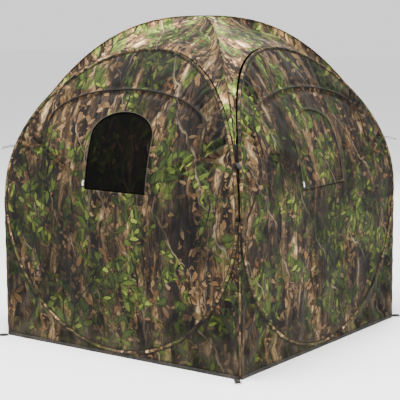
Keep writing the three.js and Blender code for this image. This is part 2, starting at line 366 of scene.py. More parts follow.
def new_group(name, inputs, outputs):
    group = bpy.data.node_groups.new(name, "ShaderNodeTree")
    for label, kind, value in inputs:
        socket = group.interface.new_socket(label, in_out="INPUT", socket_type=kind)
        if value is not None:
            socket.default_value = value
    for label, kind in outputs:
        group.interface.new_socket(label, in_out="OUTPUT", socket_type=kind)
    nodes = Nodes(group)
    return group, nodes, nodes.add("NodeGroupInput").outputs, nodes.add("NodeGroupOutput").inputs


VEC, NUM, COL = "NodeSocketVector", "NodeSocketFloat", "NodeSocketColor"


def leaf_group():
    """Scattered leaves: one in each cell, turned at random, with a midrib and side veins."""
    group, n, i, o = new_group(
        "leaf_scatter",
        [("Vector", VEC, None), ("Cell", NUM, 0.06), ("Seed", NUM, 0.0), ("Share", NUM, 0.7),
         ("Length", NUM, 0.55), ("Width", NUM, 0.22), ("Turn", NUM, 6.28)],
        [("Mask", NUM), ("Rib", NUM), ("Tone", NUM), ("Shade", NUM)],
    )
    shift = n.add("ShaderNodeCombineXYZ", {0: i["Seed"], 1: n.math("MULTIPLY", i["Seed"], 1.7)})
    place = n.vector("ADD", n.vector("DIVIDE", i["Vector"], n.add(
        "ShaderNodeCombineXYZ", {0: i["Cell"], 1: i["Cell"], 2: 1.0}).outputs[0]), shift.outputs[0])
    wander = n.add("ShaderNodeTexNoise", {"Vector": place, "Scale": 1.3, "Detail": 1.0},
                   noise_dimensions="2D")
    place = n.vector("ADD", place, n.vector("MULTIPLY", n.vector(
        "SUBTRACT", wander.outputs["Color"], (0.5, 0.5, 0.5)), (0.25, 0.25, 0)))
    cells = n.add("ShaderNodeTexVoronoi", {"Vector": place, "Scale": 1.0, "Randomness": 1.0},
                  voronoi_dimensions="2D")
    random = n.add("ShaderNodeSeparateColor", {0: cells.outputs["Color"]})
    local = n.vector("SUBTRACT", place, cells.outputs["Position"])
    angle = n.math("MULTIPLY", random.outputs[0], i["Turn"])
    leaf = n.add("ShaderNodeVectorRotate", {"Vector": local, "Angle": angle}, rotation_type="Z_AXIS")
    along, aside, _ = n.add("ShaderNodeSeparateXYZ", {0: leaf.outputs[0]}).outputs
    size = n.spread(random.outputs[1], 0.0, 1.0, 0.65, 1.15)
    u = n.math("DIVIDE", along, n.math("MULTIPLY", i["Length"], size))
    v = n.math("DIVIDE", n.math("ABSOLUTE", aside), n.math("MULTIPLY", i["Width"], size))
    lobes = n.math("MULTIPLY", n.math("SINE", n.math("MULTIPLY", u, 17.0)), 0.10)
    taper = n.math("SUBTRACT", 1.0, n.math("MULTIPLY", u, u))
    taper = n.math("MULTIPLY", taper, n.math("MULTIPLY_ADD", u, -0.35, 1.0))
    body = n.math("SUBTRACT", n.math("ADD", taper, n.math("MULTIPLY", lobes, taper)), v)
    there = n.math("LESS_THAN", random.outputs[2], i["Share"])
    n.plug(n.math("MULTIPLY", n.spread(body, 0.0, 0.10), there), o["Mask"])
    rib = n.spread(v, 0.0, 0.12, 1.0, 0.0)
    veins = n.math("SINE", n.math("MULTIPLY", n.math("SUBTRACT", u, n.math("MULTIPLY", v, 0.45)), 34.0))
    n.plug(n.math("MAXIMUM", rib, n.spread(veins, 0.75, 1.0, 0.0, 0.45)), o["Rib"])
    n.plug(random.outputs[1], o["Tone"])
    n.plug(n.math("MULTIPLY", n.spread(body, -0.55, 0.0, 0.0, 1.0), there), o["Shade"])
    return group


def twig_group():
    """Thin branches: wandering lines that run mostly one way."""
    group, n, i, o = new_group(
        "twigs",
        [("Vector", VEC, None), ("Spacing", NUM, 0.12), ("Thick", NUM, 0.08), ("Seed", NUM, 0.0)],
        [("Mask", NUM), ("Side", NUM)],
    )
    shift = n.add("ShaderNodeCombineXYZ", {0: i["Seed"], 1: i["Seed"]}).outputs[0]
    place = n.vector("ADD", i["Vector"], shift)
    warp = n.add("ShaderNodeTexNoise", {"Vector": place, "Scale": 4.5, "Detail": 3.0},
                 noise_dimensions="2D")
    warp = n.vector("SUBTRACT", warp.outputs["Color"], (0.5, 0.5, 0.5))
    place = n.vector("ADD", place, n.vector("MULTIPLY", warp, (0.16, 0.05, 0)))
    across = n.math("DIVIDE", n.add("ShaderNodeSeparateXYZ", {0: place}).outputs[0], i["Spacing"])
    cell = n.math("SUBTRACT", n.math("FRACT", across), 0.5)
    off = n.math("ABSOLUTE", cell)
    width = n.math("MULTIPLY", i["Thick"], n.spread(n.noise(place, 7.0), 0.35, 0.7, 0.15, 1.4))
    n.plug(n.spread(n.math("DIVIDE", off, width), 0.8, 1.1, 1.0, 0.0), o["Mask"])
    n.plug(n.spread(n.math("DIVIDE", cell, width), -1.0, 1.0), o["Side"])
    return group


def weave_group():
    """Height of a plain weave, with the ribs of its yarns."""
    group, n, i, o = new_group(
        "plain_weave",
        [("Vector", VEC, None), ("Yarns per metre", NUM, 900.0), ("Slub", NUM, 0.3)],
        [("Height", NUM)],
    )
    scale = n.add("ShaderNodeCombineXYZ", {0: i[1], 1: i[1], 2: i[1]}).outputs[0]
    place = n.vector("MULTIPLY", i["Vector"], scale)
    x, y, _ = n.add("ShaderNodeSeparateXYZ", {0: place}).outputs
    warp = n.math("SINE", n.math("MULTIPLY", x, math.pi))
    weft = n.math("SINE", n.math("MULTIPLY", y, math.pi))
    over = n.math("MULTIPLY", warp, weft)
    slub = n.noise(n.stretch(i["Vector"], (60, 900, 1)), 1.0)
    n.plug(n.math("ADD", over, n.math("MULTIPLY", slub, i["Slub"])), o["Height"])
    return group


def dust_group():
    """Pale dust and mud, thicker towards the ground and broken up by noise."""
    group, n, i, o = new_group(
        "ground_dust",
        [("Color", COL, (0.1, 0.1, 0.1, 1)), ("Top", NUM, 0.22), ("Amount", NUM, 0.35)],
        [("Color", COL)],
    )
    place = n.add("ShaderNodeTexCoord").outputs["Object"]
    height = n.add("ShaderNodeSeparateXYZ", {0: place}).outputs[2]
    patch = n.add("ShaderNodeTexNoise", {"Vector": place, "Scale": 9.0, "Detail": 4.0}).outputs[0]
    low = n.math("SUBTRACT", 1.0, n.math("DIVIDE", height, i["Top"]), clamp=True)
    amount = n.math("MULTIPLY", n.math("MULTIPLY", low, n.spread(patch, 0.35, 0.7)), i["Amount"])
    n.plug(n.mix(amount, i["Color"], (0.10, 0.075, 0.048, 1)), o["Color"])
    return group


def print_group(leaves, twigs):
    """The woodland print: light between trees, trunks, dead and green leaves, twigs, layer on layer."""
    group, n, i, o = new_group(
        "woodland_print",
        [("Vector", VEC, None), ("Brightness", NUM, 1.0), ("Green", NUM, 1.0)],
        [("Color", COL)],
    )
    base = i["Vector"]

    def leafy(cell, seed, share, length, width, turn=6.28):
        node = n.add("ShaderNodeGroup", node_tree=leaves)
        for key, value in (("Vector", base), ("Cell", cell), ("Seed", seed), ("Share", share),
                           ("Length", length), ("Width", width), ("Turn", turn)):
            n.plug(value, node.inputs[key])
        return node.outputs

    def ramp(value, *stops):
        node = n.add("ShaderNodeValToRGB", {0: value})
        elements = node.color_ramp.elements
        for k, (at, colour) in enumerate(stops):
            element = elements[k] if k < 2 else elements.new(at)
            element.position = at
            element.color = (*colour, 1)
        return node.outputs[0]

    # light and shade between the trees, drawn out upwards
    streaks = n.noise(n.stretch(base, (17, 3.6, 1)), 1.0, 4.0, 0.55, 0.5)
    colour = ramp(streaks, (0.38, (0.006, 0.004, 0.003)), (0.49, (0.040, 0.023, 0.012)),
                  (0.57, (0.125, 0.072, 0.030)), (0.65, (0.36, 0.235, 0.105)), (0.73, (0.72, 0.53, 0.29)))
    grain = n.noise(n.stretch(base, (75, 16, 1)), 1.0, 5.0, 0.65, 0.5)
    colour = n.mix(n.spread(grain, 0.36, 0.58, 0.72, 0.0), colour, (0.010, 0.007, 0.004, 1))
    # leaf litter: small warm scraps
    litter = n.noise(base, 34.0, 3.0, 0.55, 0.3)
    colour = n.mix(n.spread(litter, 0.56, 0.64, 0.0, 0.75), colour,
                   ramp(n.noise(base, 11.0), (0.40, (0.15, 0.066, 0.022)), (0.60, (0.33, 0.20, 0.085))))
    # trunks, with rough bark and a dark side
    for spacing, thick, seed, lean, dark, pale in (
        (0.53, 0.13, 3.1, 0.05, (0.010, 0.007, 0.005), (0.092, 0.058, 0.034)),
        (0.31, 0.09, 8.7, -0.10, (0.006, 0.004, 0.003), (0.062, 0.038, 0.021)),
        (0.37, 0.05, 4.4, 0.16, (0.012, 0.008, 0.005), (0.20, 0.14, 0.085)),
    ):
        trunk = n.add("ShaderNodeGroup", node_tree=twigs)
        for key, value in (("Vector", n.stretch(base, (1, 0.5, 1), turn=lean)),
                           ("Spacing", spacing), ("Thick", thick), ("Seed", seed)):
            n.plug(value, trunk.inputs[key])
        bark = n.noise(n.stretch(base, (110, 15, 1)), 1.0, 4.0, 0.7, 0.6)
        wood = n.mix(n.spread(bark, 0.38, 0.62), (*dark, 1), (*pale, 1))
        wood = n.mix(n.spread(trunk.outputs["Side"], 0.45, 1.0, 0.0, 0.9), wood, (0.003, 0.002, 0.002, 1))
        colour = n.mix(trunk.outputs["Mask"], colour, wood)
    # dead leaves
    for cell, seed, share, dark, pale in (
        (0.066, 1.3, 0.34, (0.050, 0.025, 0.010), (0.24, 0.135, 0.055)),
        (0.043, 5.9, 0.30, (0.020, 0.011, 0.006), (0.36, 0.22, 0.10)),
    ):
        mask, rib, tone, shade = leafy(cell, seed, share, 0.56, 0.20)
        colour = n.mix(n.math("MULTIPLY", shade, 0.8), colour, (0.004, 0.003, 0.002, 1))
        dead = n.mix(tone, (*dark, 1), (*pale, 1))
        dead = n.mix(n.math("MULTIPLY", rib, 0.5), dead, (0.010, 0.006, 0.003, 1))
        colour = n.mix(mask, colour, dead)
    # green leaves, in clusters that hang over the trunks
    cluster = n.noise(n.stretch(base, (1.0, 0.8, 1), (3.3, 1.9, 0)), 4.6, 2.0, 0.6, 0.5)
    haze = n.noise(n.stretch(base, (26, 15, 1)), 1.0, 3.0, 0.55, 0.6)
    there = n.math("MULTIPLY", n.spread(cluster, 0.46, 0.56), i["Green"], clamp=True)
    colour = n.mix(n.math("MULTIPLY", there, n.spread(haze, 0.40, 0.56, 0.0, 0.85)), colour,
                   ramp(haze, (0.40, (0.008, 0.016, 0.003)), (0.56, (0.042, 0.068, 0.010)),
                        (0.70, (0.13, 0.17, 0.024))))
    for cell, seed, share, low, dark, pale in (
        (0.088, 11.0, 0.62, 0.45, (0.008, 0.017, 0.004), (0.046, 0.078, 0.012)),
        (0.062, 14.5, 0.55, 0.48, (0.020, 0.036, 0.006), (0.105, 0.150, 0.020)),
        (0.044, 17.2, 0.42, 0.50, (0.050, 0.080, 0.010), (0.27, 0.33, 0.045)),
    ):
        mask, rib, tone, shade = leafy(cell, seed, share, 0.60, 0.21)
        there = n.math("MULTIPLY", n.spread(cluster, low, low + 0.05), i["Green"], clamp=True)
        colour = n.mix(n.math("MULTIPLY", n.math("MULTIPLY", shade, there), 0.8), colour,
                       (0.003, 0.004, 0.002, 1))
        green = n.mix(tone, (*dark, 1), (*pale, 1))
        green = n.mix(n.math("MULTIPLY", rib, 0.35), green, (0.20, 0.23, 0.06, 1))
        colour = n.mix(n.math("MULTIPLY", mask, there), colour, green)
    # bare twigs over all of it, some of them pale
    for spacing, thick, seed, lean, lit, dull in (
        (0.19, 0.030, 2.2, 0.5, (0.030, 0.019, 0.011), (0.003, 0.002, 0.002)),
        (0.27, 0.022, 6.4, -0.65, (0.33, 0.25, 0.16), (0.020, 0.013, 0.008)),
        (0.16, 0.026, 9.6, -0.2, (0.018, 0.011, 0.007), (0.003, 0.002, 0.002)),
    ):
        twig = n.add("ShaderNodeGroup", node_tree=twigs)
        for key, value in (("Vector", n.stretch(base, (1, 0.8, 1), turn=lean)),
                           ("Spacing", spacing), ("Thick", thick), ("Seed", seed)):
            n.plug(value, twig.inputs[key])
        bark = n.mix(twig.outputs["Side"], (*lit, 1), (*dull, 1))
        gap = n.spread(n.noise(n.vector("ADD", base, (seed, 0, 0)), 3.1), 0.42, 0.52)
        colour = n.mix(n.math("MULTIPLY", twig.outputs["Mask"], gap), colour, bark)
    # deep shade in some places and sun in others
    broad = n.noise(n.stretch(base, (1.0, 0.8, 1), (7.0, 2.0, 0)), 3.2, 3.0, 0.55, 0.4)
    level = n.math("MULTIPLY", i["Brightness"], n.spread(broad, 0.38, 0.64, 0.40, 1.60))
    colour = n.mix(1.0, colour, n.add("ShaderNodeCombineColor", {0: level, 1: level, 2: level}), "MULTIPLY")
    n.plug(colour, o["Color"])
    return group


LEAVES = leaf_group()
TWIGS = twig_group()
WEAVE = weave_group()
DUST = dust_group()
PRINT = print_group(LEAVES, TWIGS)


# ---------------------------------------------------------------- materials
def material(name, roughness=0.8, metallic=0.0, sheen=0.0, specular=0.5):
    made = bpy.data.materials.new(name)
    made.use_nodes = True
    shader = made.node_tree.nodes["Principled BSDF"]
    shader.inputs["Roughness"].default_value = roughness
    shader.inputs["Metallic"].default_value = metallic
    shader.inputs["Sheen Weight"].default_value = sheen
    shader.inputs["Specular IOR Level"].default_value = specular
    return made, Nodes(made.node_tree), shader


def cloth_place(n):
    return n.add("ShaderNodeUVMap", uv_map="cloth").outputs[0]


def woven(n, place, yarns, slub=0.3):
    node = n.add("ShaderNodeGroup", node_tree=WEAVE)
    n.plug(place, node.inputs["Vector"])
    node.inputs["Yarns per metre"].default_value = yarns
    node.inputs["Slub"].default_value = slub
    return node.outputs["Height"]


def bump(n, height, distance, shader, strength=0.5):
    node = n.add("ShaderNodeBump", {"Height": height, "Distance": distance, "Strength": strength})
    n.plug(node.outputs[0], shader.inputs["Normal"])


def camo(name, brightness=0.34, green=1.0, roughness=0.78, shift=(0, 0, 0), dusty=0.3):
    made, n, shader = material(name, roughness, sheen=0.02, specular=0.12)
    place = n.vector("ADD", cloth_place(n), shift)
    print_node = n.add("ShaderNodeGroup", node_tree=PRINT)
    n.plug(place, print_node.inputs["Vector"])
    print_node.inputs["Brightness"].default_value = brightness
    print_node.inputs["Green"].default_value = green
    dust = n.add("ShaderNodeGroup", node_tree=DUST)
    n.plug(print_node.outputs["Color"], dust.inputs["Color"])
    dust.inputs["Amount"].default_value = dusty
    n.plug(dust.outputs["Color"], shader.inputs["Base Color"])
    rough = n.noise(place, 12.0, 3.0)
    n.plug(n.spread(rough, 0.3, 0.7, roughness - 0.06, roughness + 0.08), shader.inputs["Roughness"])
    height = n.math("ADD", n.math("MULTIPLY", woven(n, place, 1300.0), 0.25), rough)
    bump(n, height, 0.0009, shader, 0.45)
    return made


def plain_weave(name, colour, yarns=700.0, roughness=0.8, edge=(0.05, 0.05, 0.048)):
    made, n, shader = material(name, roughness, sheen=0.03, specular=0.15)
    place = cloth_place(n)
    patch = n.noise(place, 40.0, 3.0)
    tint = n.mix(n.spread(patch, 0.4, 0.75, 0.0, 0.5), (*colour, 1), (*edge, 1))
    dust = n.add("ShaderNodeGroup", node_tree=DUST)
    n.plug(tint, dust.inputs["Color"])
    dust.inputs["Top"].default_value = 0.06
    n.plug(dust.outputs["Color"], shader.inputs["Base Color"])
    height = woven(n, place, yarns, 0.5)
    bump(n, height, 0.0006, shader, 0.7)
    n.plug(n.spread(patch, 0.3, 0.7, roughness - 0.08, roughness + 0.08), shader.inputs["Roughness"])
    return made


def net_material():
    """Fine net with a very dark print showing faintly on its yarns. Its open holes are near black and the
    whole net is darkened a little more: the inside of the blind seen through it, its black coating together
    with painted shade.
    """
    made, n, shader = material("printed_net", 0.9, specular=0.05)
    place = cloth_place(n)
    print_node = n.add("ShaderNodeGroup", node_tree=PRINT)
    n.plug(n.vector("ADD", place, (5.0, 2.0, 0)), print_node.inputs["Vector"])
    print_node.inputs["Brightness"].default_value = 0.035
    x, y, _ = n.add("ShaderNodeSeparateXYZ", {0: place}).outputs
    hole = n.math("MULTIPLY", n.math("SINE", n.math("MULTIPLY", x, 2200.0)),
                  n.math("SINE", n.math("MULTIPLY", y, 2200.0)))
    holes = n.spread(hole, 0.05, 0.6)
    # the open holes are painted near black, and the net is darkened again below: the inside of the blind
    # seen through it, black coating together with painted shade
    tint = n.mix(holes, print_node.outputs["Color"], (0.0004, 0.0004, 0.0004, 1))
    n.plug(n.mix(0.35, tint, (0.0006, 0.0006, 0.0005, 1)), shader.inputs["Base Color"])
    bump(n, n.math("SUBTRACT", 1.0, holes), 0.0005, shader, 0.8)
    return made


def coated():
    """The black coating inside the cloth."""
    made, n, shader = material("black_coating", 0.6, specular=0.2)
    place = n.add("ShaderNodeTexCoord").outputs["Object"]
    patch = n.add("ShaderNodeTexNoise", {"Vector": place, "Scale": 18.0, "Detail": 4.0}).outputs[0]
    n.plug(n.mix(patch, (0.004, 0.004, 0.004, 1), (0.014, 0.013, 0.012, 1)), shader.inputs["Base Color"])
    n.plug(n.spread(patch, 0.3, 0.7, 0.45, 0.7), shader.inputs["Roughness"])
    bump(n, patch, 0.001, shader, 0.3)
    return made


def metal(name, colour, roughness):
    made, n, shader = material(name, roughness, 1.0)
    place = n.add("ShaderNodeTexCoord").outputs["Object"]
    wear = n.add("ShaderNodeTexNoise", {"Vector": place, "Scale": 120.0, "Detail": 5.0}).outputs[0]
    dull = tuple(c * 0.45 for c in colour)
    n.plug(n.mix(n.spread(wear, 0.4, 0.7), (*colour, 1), (*dull, 1)), shader.inputs["Base Color"])
    n.plug(n.spread(wear, 0.3, 0.7, roughness, roughness + 0.25), shader.inputs["Roughness"])
    bump(n, wear, 0.0002, shader, 0.3)
    return made


def moulded(name, colour, roughness=0.4):
    made, n, shader = material(name, roughness)
    place = n.add("ShaderNodeTexCoord").outputs["Object"]
    grain = n.add("ShaderNodeTexNoise", {"Vector": place, "Scale": 300.0, "Detail": 3.0}).outputs[0]
    dull = tuple(c * 0.8 for c in colour)
    n.plug(n.mix(grain, (*colour, 1), (*dull, 1)), shader.inputs["Base Color"])
    n.plug(n.spread(grain, 0.3, 0.7, roughness, roughness + 0.2), shader.inputs["Roughness"])
    bump(n, grain, 0.0002, shader, 0.3)
    return made


CAMO = {side: camo(f"camo_{side}_wall", shift=(1.9 * k, 0.37 * k, 0)) for k, side in enumerate(SIDES)}
# the roof takes the same print about three times as bright as the walls: painted light falling from above on
# the top of the blind
CAMO_ROOF_LIT = camo("camo_roof", brightness=1.0, shift=(9.0, 4.0, 0), dusty=0.0)
CAMO_FLAP = camo("camo_flap", shift=(13.0, 2.0, 0))
# the binding of sleeves and seams: a lighter, less green copy of the print, whose extra brightness is a
# painted highlight along the hoops and seams
BINDING_LIT = camo("camo_binding", brightness=0.55, green=0.3, shift=(17.0, 5.0, 0))
CAMO_GUSSET = camo("camo_gusset", brightness=0.34, shift=(25.0, 7.0, 0))
# the corner webs: the print at about a third of the walls' brightness, painted shade in the gap between the
# hoops
CAMO_PAINTED_SHADE = camo("camo_corner_web", brightness=0.12, green=0.4, shift=(21.0, 3.0, 0))
COATING = coated()
WEBBING = plain_weave("black_webbing", (0.012, 0.012, 0.011))
THREAD = plain_weave("brown_thread", (0.022, 0.016, 0.010), yarns=2000.0, edge=(0.05, 0.036, 0.022))
NET = net_material()
STEEL = metal("spring_steel", (0.42, 0.42, 0.43), 0.3)
SEAM = plain_weave("dark_seam_binding", (0.006, 0.005, 0.004), yarns=1200.0, edge=(0.020, 0.015, 0.010))
TEETH = moulded("brown_zip_teeth", (0.030, 0.022, 0.014), 0.45)
PLASTIC = moulded("white_plastic", (0.75, 0.74, 0.69), 0.35)

OUTWARD = {side: Vector(turned(np.array([[0.0, -1.0, 0.0]]), k)[0]) for k, side in enumerate(SIDES)}


def wobble(x, y, scale, seed=0.0):
    """Smooth random waves between about -1 and 1, the same every time."""
    total = np.zeros_like(np.asarray(x, float))
    for k in range(5):
        a = 2.399 * (k + 1) + seed
        f = scale * (0.7 + 0.37 * k)
        total += np.sin(f * (x * math.cos(a) + y * math.sin(a)) + 5.1 * a) / (1 + 0.5 * k)
    return total / 2.6


def step(value, low, high):
    t = np.clip((value - low) / (high - low), 0, 1)
    return t * t * (3 - 2 * t)


def bend_at_waist(piece, side):
    """Bakes the transform of a piece that runs past the hinge line of a wall into its mesh."""
    ends = [on_wall(0.0, s, 0.0, side)[0] for s in (-0.05, 0.05)]
    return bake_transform(piece)


# ---------------------------------------------------------------- wall cloth
def around_hoop(offset, steps):
    """The hoop's outline, moved in or out, anticlockwise from the right-hand end of the waist."""
    angle = np.arange(steps) * 2 * math.pi / steps
    x, s = hoop_point(angle, offset)
    return np.stack([x, s], axis=1)


def nearest(points, loop):
    """Distance from points to an outline and the share of the way round it where that is."""
    best = np.full(len(points), 9.0)
    share = np.zeros(len(points))
    count = len(loop)
    for k, (a, b) in enumerate(zip(loop, np.roll(loop, -1, axis=0))):
        ab = b - a
        t = np.clip(((points - a) @ ab) / max(ab @ ab, 1e-12), 0, 1)
        d = np.linalg.norm(a + t[:, None] * ab - points, axis=1)
        closer = d < best
        best = np.where(closer, d, best)
        share = np.where(closer, (k + t) / count, share)
    return best, share


def wall_relief(points, openings, side):
    """How far a wall's cloth stands out of its middle surface."""
    x, s = points[:, 0], points[:, 1]
    hoop = around_hoop(-SLEEVE, 144)
    to_hoop, share = nearest(points, hoop)
    to_welt = distance(points, arch_path(WELT, 0.0, WELT["bottom"], 50), closed=False)
    in_welt = inside(points, arch(WELT))
    # soft hollows between the hoop and the arch seam, drawn tight at the seam itself
    relief = 0.006 * wobble(x, s, 7.0, side) * step(to_hoop, 0.0, 0.15)
    relief += 0.0025 * wobble(x, s, 23.0, side + 3.0) * step(to_hoop, 0.0, 0.05)
    relief += 0.0012 * wobble(x, s, 61.0, side + 5.0) * step(to_hoop, 0.0, 0.03)
    # pleats that fan out from the hoop into the cloth
    pleats = np.sin(share * 2 * math.pi * 58 + 1.6 * np.sin(share * 31 + side))
    upper = step(s, 0.05, 0.30)
    depth = np.exp(-to_hoop / 0.06) * (0.35 + 0.65 * upper)
    relief += 0.0050 * pleats * depth * step(to_hoop, 0.002, 0.02)
    # sharp gathers across the shoulders, from the hoop to the arch seam
    shoulder = step(np.abs(x), 0.16, 0.34) * upper * ~in_welt
    gathers = np.sin(share * 2 * math.pi * 112 + 2.2 * np.sin(share * 45 + side))
    gathers = np.sign(gathers) * np.abs(gathers) ** 0.7
    fade = 0.55 + 0.45 * np.sin(share * 2 * math.pi * 17 + 2 * side)
    relief += 0.0085 * gathers * fade * shoulder * step(to_hoop, 0.0, 0.02) * step(to_welt, 0.0, 0.03)
    # the raised arch seam with its cloth drawn in beside it
    relief += 0.0035 * np.exp(-(to_welt / 0.0050) ** 2)
    relief -= 0.0070 * np.exp(-((to_welt - 0.018) / 0.012) ** 2)
    # each opening has a firm edge
    for opening in openings:
        to_edge = distance(points, arch(opening))
        relief *= step(to_edge, 0.004, 0.05) * 0.85 + 0.15
        relief += 0.0010 * np.exp(-((to_edge - 0.012) / 0.005) ** 2)
    # slack folds that run down from the waist to the ground
    low = step(-s, 0.05, 0.4) * step(to_hoop, 0.0, 0.12)
    relief += 0.0045 * low * np.sin(x * 21 + 1.3 * wobble(x, s, 3.0, side + 8.0) + side)
    return relief


def wall_cloth(side):
    name = SIDES[side]
    windows = {"front": [WINDOW], "right": [WINDOW], "back": [DOOR], "left": [WINDOW]}[name]
    outline = around_hoop(-0.003, 168)
    holes = [arch(w, 0.001) for w in windows]
    points, faces = fill(outline, holes, 0.0105)
    relief = wall_relief(points, windows, side)
    place = on_wall(points[:, 0], points[:, 1], CLOTH / 2 + relief, side)
    piece = new_piece(f"{name}_cloth", place, faces, [CAMO[name], COATING], points)
    thicken(piece)
    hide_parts(f"{name}_panel_lower", f"{name}_panel_upper")
    bend_at_waist(piece, side)
    return piece


def sleeve(side):
    """The cloth sleeve round a hoop, gathered a little. The stitches on its inner side come from
    hoop_stitches.
    """
    name = SIDES[side]
    steps = 288
    angle = np.arange(steps) * 2 * math.pi / steps
    x, s = hoop_point(angle)
    path = on_wall(x, s, 0.0, side)
    out = on_wall(x, s, 0.01, side) - path
    out /= np.linalg.norm(out, axis=1, keepdims=True)
    gather = 1 + 0.055 * np.sin(angle * 97 + 1.2 * np.sin(angle * 13 + side)) + 0.03 * np.sin(angle * 41)
    # the sleeve takes the lighter binding print, a painted highlight along the hoop's edge
    piece = tube(f"{name}_sleeve", path, SLEEVE * 0.93 * gather, [BINDING_LIT], True, 14, out, 0.92)
    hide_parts(f"{name}_sleeve_lower", f"{name}_sleeve_upper")
    bend_at_waist(piece, side)
    return piece


def arch_path(opening, grow, foot, steps=90):
    """Points up one side, over the crown and down the other, evenly spaced."""
    half, rise = opening["half"] + grow, opening["top"] - opening["shoulder"] + grow
    angle = np.linspace(0, math.pi, 60)
    crown = np.stack([half * np.cos(angle), opening["shoulder"] + rise * np.sin(angle)], axis=1)
    line = np.vstack([[(half, foot)], crown, [(-half, foot)]])
    length = np.concatenate([[0], np.cumsum(np.linalg.norm(np.diff(line, axis=0), axis=1))])
    at = np.linspace(0, length[-1], steps)
    return np.stack([np.interp(at, length, line[:, 0]), np.interp(at, length, line[:, 1])], axis=1)


def tape_round(name, opening, offset_in, offset_out, foot, side, n, thickness, material):
    """A tape that follows the arch of an opening on a wall, from one offset to another across it."""
    inner, outer = arch_path(opening, offset_in, foot), arch_path(opening, offset_out, foot)
    middle = (inner + outer) / 2
    path = on_wall(middle[:, 0], middle[:, 1], n, side)
    across = on_wall(outer[:, 0], outer[:, 1], n, side) - on_wall(inner[:, 0], inner[:, 1], n, side)
    width = float(np.linalg.norm(across, axis=1).mean())
    across /= np.linalg.norm(across, axis=1, keepdims=True)
    out = on_wall(middle[:, 0], middle[:, 1], n + 0.01, side) - path
    out /= np.linalg.norm(out, axis=1, keepdims=True)
    piece = ribbon(name, path, across, out, width, thickness, [material])
    share = np.array([w for w, _ in STRAP_SECTION])
    on_cloth = middle[:, None] + (outer - inner)[:, None] * share[None, :, None]
    corner = np.empty(len(piece.data.loops), np.int32)
    piece.data.loops.foreach_get("vertex_index", corner)
    spots = on_cloth.reshape(-1, 2)[corner].astype(np.float32)
    piece.data.uv_layers["cloth"].data.foreach_set("uv", spots.ravel())
    return piece


def gusset(side, mirror):
    """The cloth between the hoop's lower corner, the corner seam and the hem."""
    name = SIDES[side]
    angle = np.linspace(math.radians(5.0), math.radians(84), 44)
    rim = np.stack([(HOOP_A + 0.005) * np.cos(angle), -(HOOP_LOW + 0.005) * np.sin(angle)], axis=1)
    foot = -(WIDEST - HEM + 0.004)
    seam = CORNER - 0.001
    rim = rim[rim[:, 1] > foot + 0.002]
    outline = np.vstack([rim, [(rim[-1, 0], foot), (seam, foot), (seam, rim[0, 1])]])
    points, faces = fill(outline[::-1], [], 0.016)
    if mirror:
        points = points * (-1, 1)
        faces = faces[:, ::-1]
    to_rim = distance(points, outline * ((-1, 1) if mirror else (1, 1)))
    folds = np.sin((np.abs(points[:, 0]) + 0.8 * points[:, 1]) * 46 + 2.0 * side)
    slack = step(to_rim, 0.0, 0.07)
    relief = slack * (0.007 * folds + 0.007 * wobble(points[:, 0], points[:, 1], 9.0, side) - 0.016)
    place = on_wall(points[:, 0], points[:, 1], CLOTH / 2 + relief, side)
    end = "left" if mirror else "right"
    piece = new_piece(f"{name}_gusset_cloth_{end}", place, faces, [CAMO_GUSSET, COATING], points)
    thicken(piece)
    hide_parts(f"{name}_gusset_{end}")
    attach(piece, f"{name}_wall_lower")
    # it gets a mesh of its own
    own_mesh(piece)
    return piece


def hem(side):
    name = SIDES[side]
    x = np.linspace(-CORNER + 0.001, CORNER - 0.001, 160)
    sway = 0.0012 * wobble(x, x * 0, 30.0, side)
    path = on_wall(x, -WIDEST + HEM / 2, sway, side)
    out = np.array(OUTWARD[name])
    piece = ribbon(f"{name}_hem_strip", path, (0, 0, 1), out, HEM, 0.0044, [WEBBING])
    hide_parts(f"{name}_hem")
    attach(piece, f"{name}_wall_lower")
    return piece


# ---------------------------------------------------------------- stitches and teeth
def row_group(name, sizes):
    """Sets small blocks along a curve, with their long side along it."""
    tree = bpy.data.node_groups.new(name, "GeometryNodeTree")
    tree.interface.new_socket("Geometry", in_out="INPUT", socket_type="NodeSocketGeometry")
    for label, value in sizes:
        socket = tree.interface.new_socket(label, in_out="INPUT", socket_type="NodeSocketFloat")
        socket.default_value = value
    tree.interface.new_socket("Material", in_out="INPUT", socket_type="NodeSocketMaterial")
    tree.interface.new_socket("Geometry", in_out="OUTPUT", socket_type="NodeSocketGeometry")
    n = Nodes(tree)
    i = n.add("NodeGroupInput").outputs
    line = n.add("GeometryNodeMeshToCurve", {"Mesh": i["Geometry"]})
    spots = n.add("GeometryNodeCurveToPoints", {"Curve": line.outputs[0], "Length": i["Pitch"]},
                  mode="LENGTH")
    size = n.add("ShaderNodeCombineXYZ", {0: i["Width"], 1: i["Depth"], 2: i["Length"]})
    block = n.add("GeometryNodeMeshCube", {"Size": size, "Vertices X": 2, "Vertices Y": 2, "Vertices Z": 2})
    place = n.add("GeometryNodeInstanceOnPoints", {
        "Points": spots.outputs["Points"], "Instance": block.outputs["Mesh"],
        "Rotation": spots.outputs["Rotation"]})
    real = n.add("GeometryNodeRealizeInstances", {"Geometry": place.outputs[0]})
    done = n.add("GeometryNodeSetMaterial", {"Geometry": real.outputs[0], "Material": i["Material"]})
    n.add("NodeGroupOutput", {0: done.outputs[0]})
    return tree


STITCH_ROW = row_group(
    "stitch_row", [("Pitch", 0.0045), ("Width", 0.0008), ("Depth", 0.0007), ("Length", 0.0033)])


